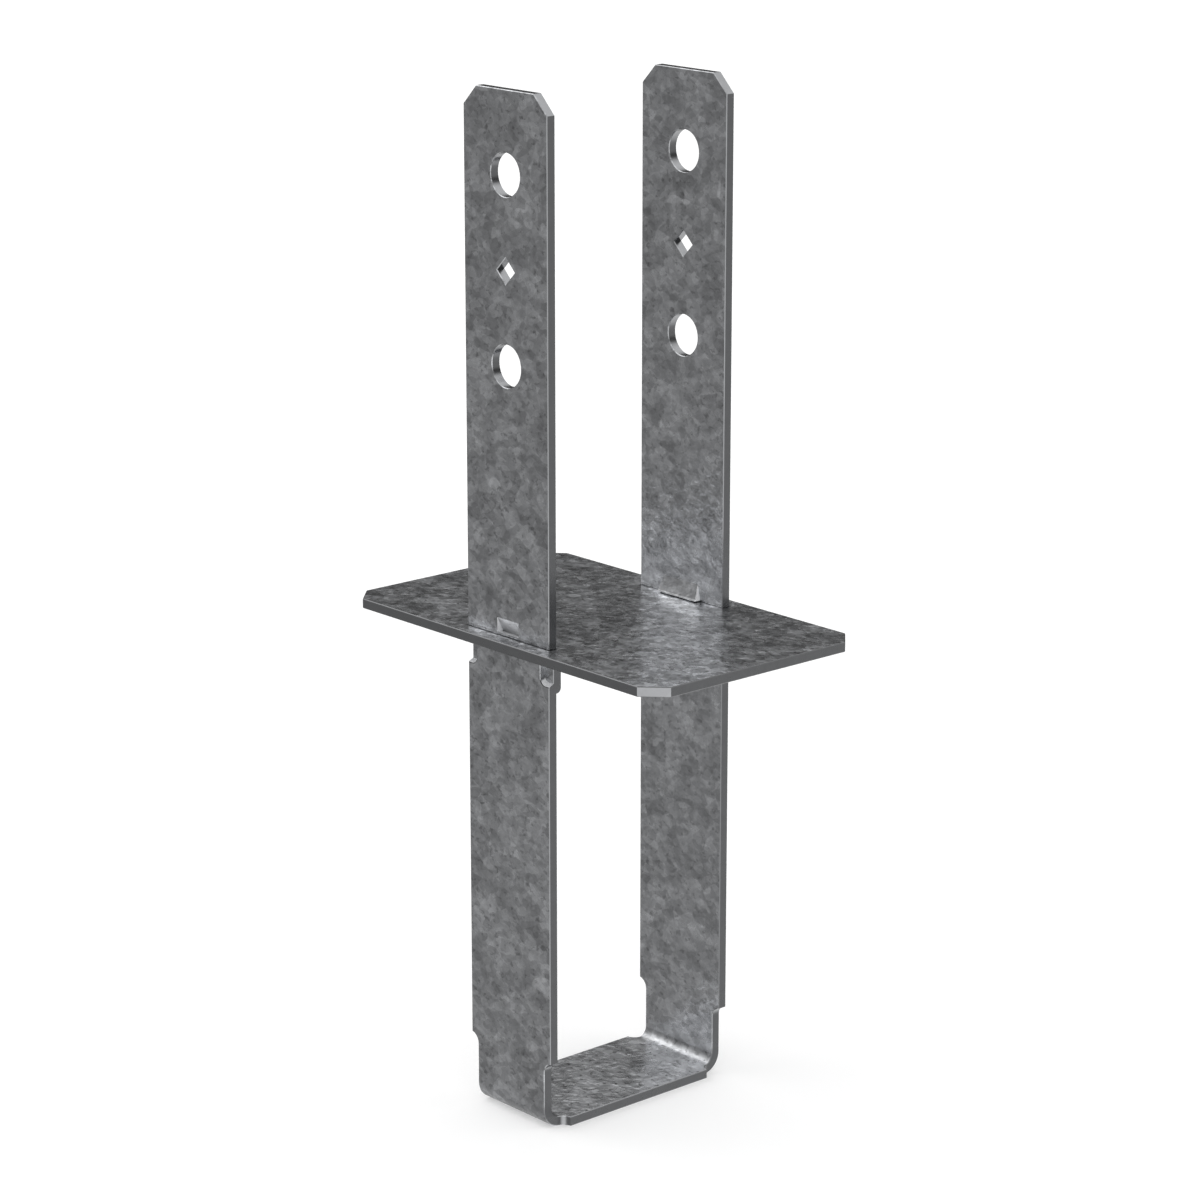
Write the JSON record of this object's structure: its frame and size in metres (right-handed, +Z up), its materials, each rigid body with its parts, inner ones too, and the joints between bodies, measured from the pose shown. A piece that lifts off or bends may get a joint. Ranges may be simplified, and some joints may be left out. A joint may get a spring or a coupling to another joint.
{
  "type": "timber post base",
  "caption": "Cast-in timber post base: a steel strap folded to a stirrup that sets in concrete, with a flat seat plate for the post and bolt holes in its legs.",
  "frame": {"origin": "centre of the plate's top face, where the post's end stands", "axes": "+Z up the post, Y from leg to leg, X along the strap's width and the plate's length"},
  "size_m": [0.1914, 0.1146, 0.4322],
  "materials": {
    "galvanised_strap": "hot-dip galvanised, satin, mottled",
    "galvanised_plate": "hot-dip galvanised, satin, mottled"
  },
  "bodies": {
    "root": {"strap_stirrup": "galvanised_strap", "base_plate": "galvanised_plate"}
  },
  "joints": []
}
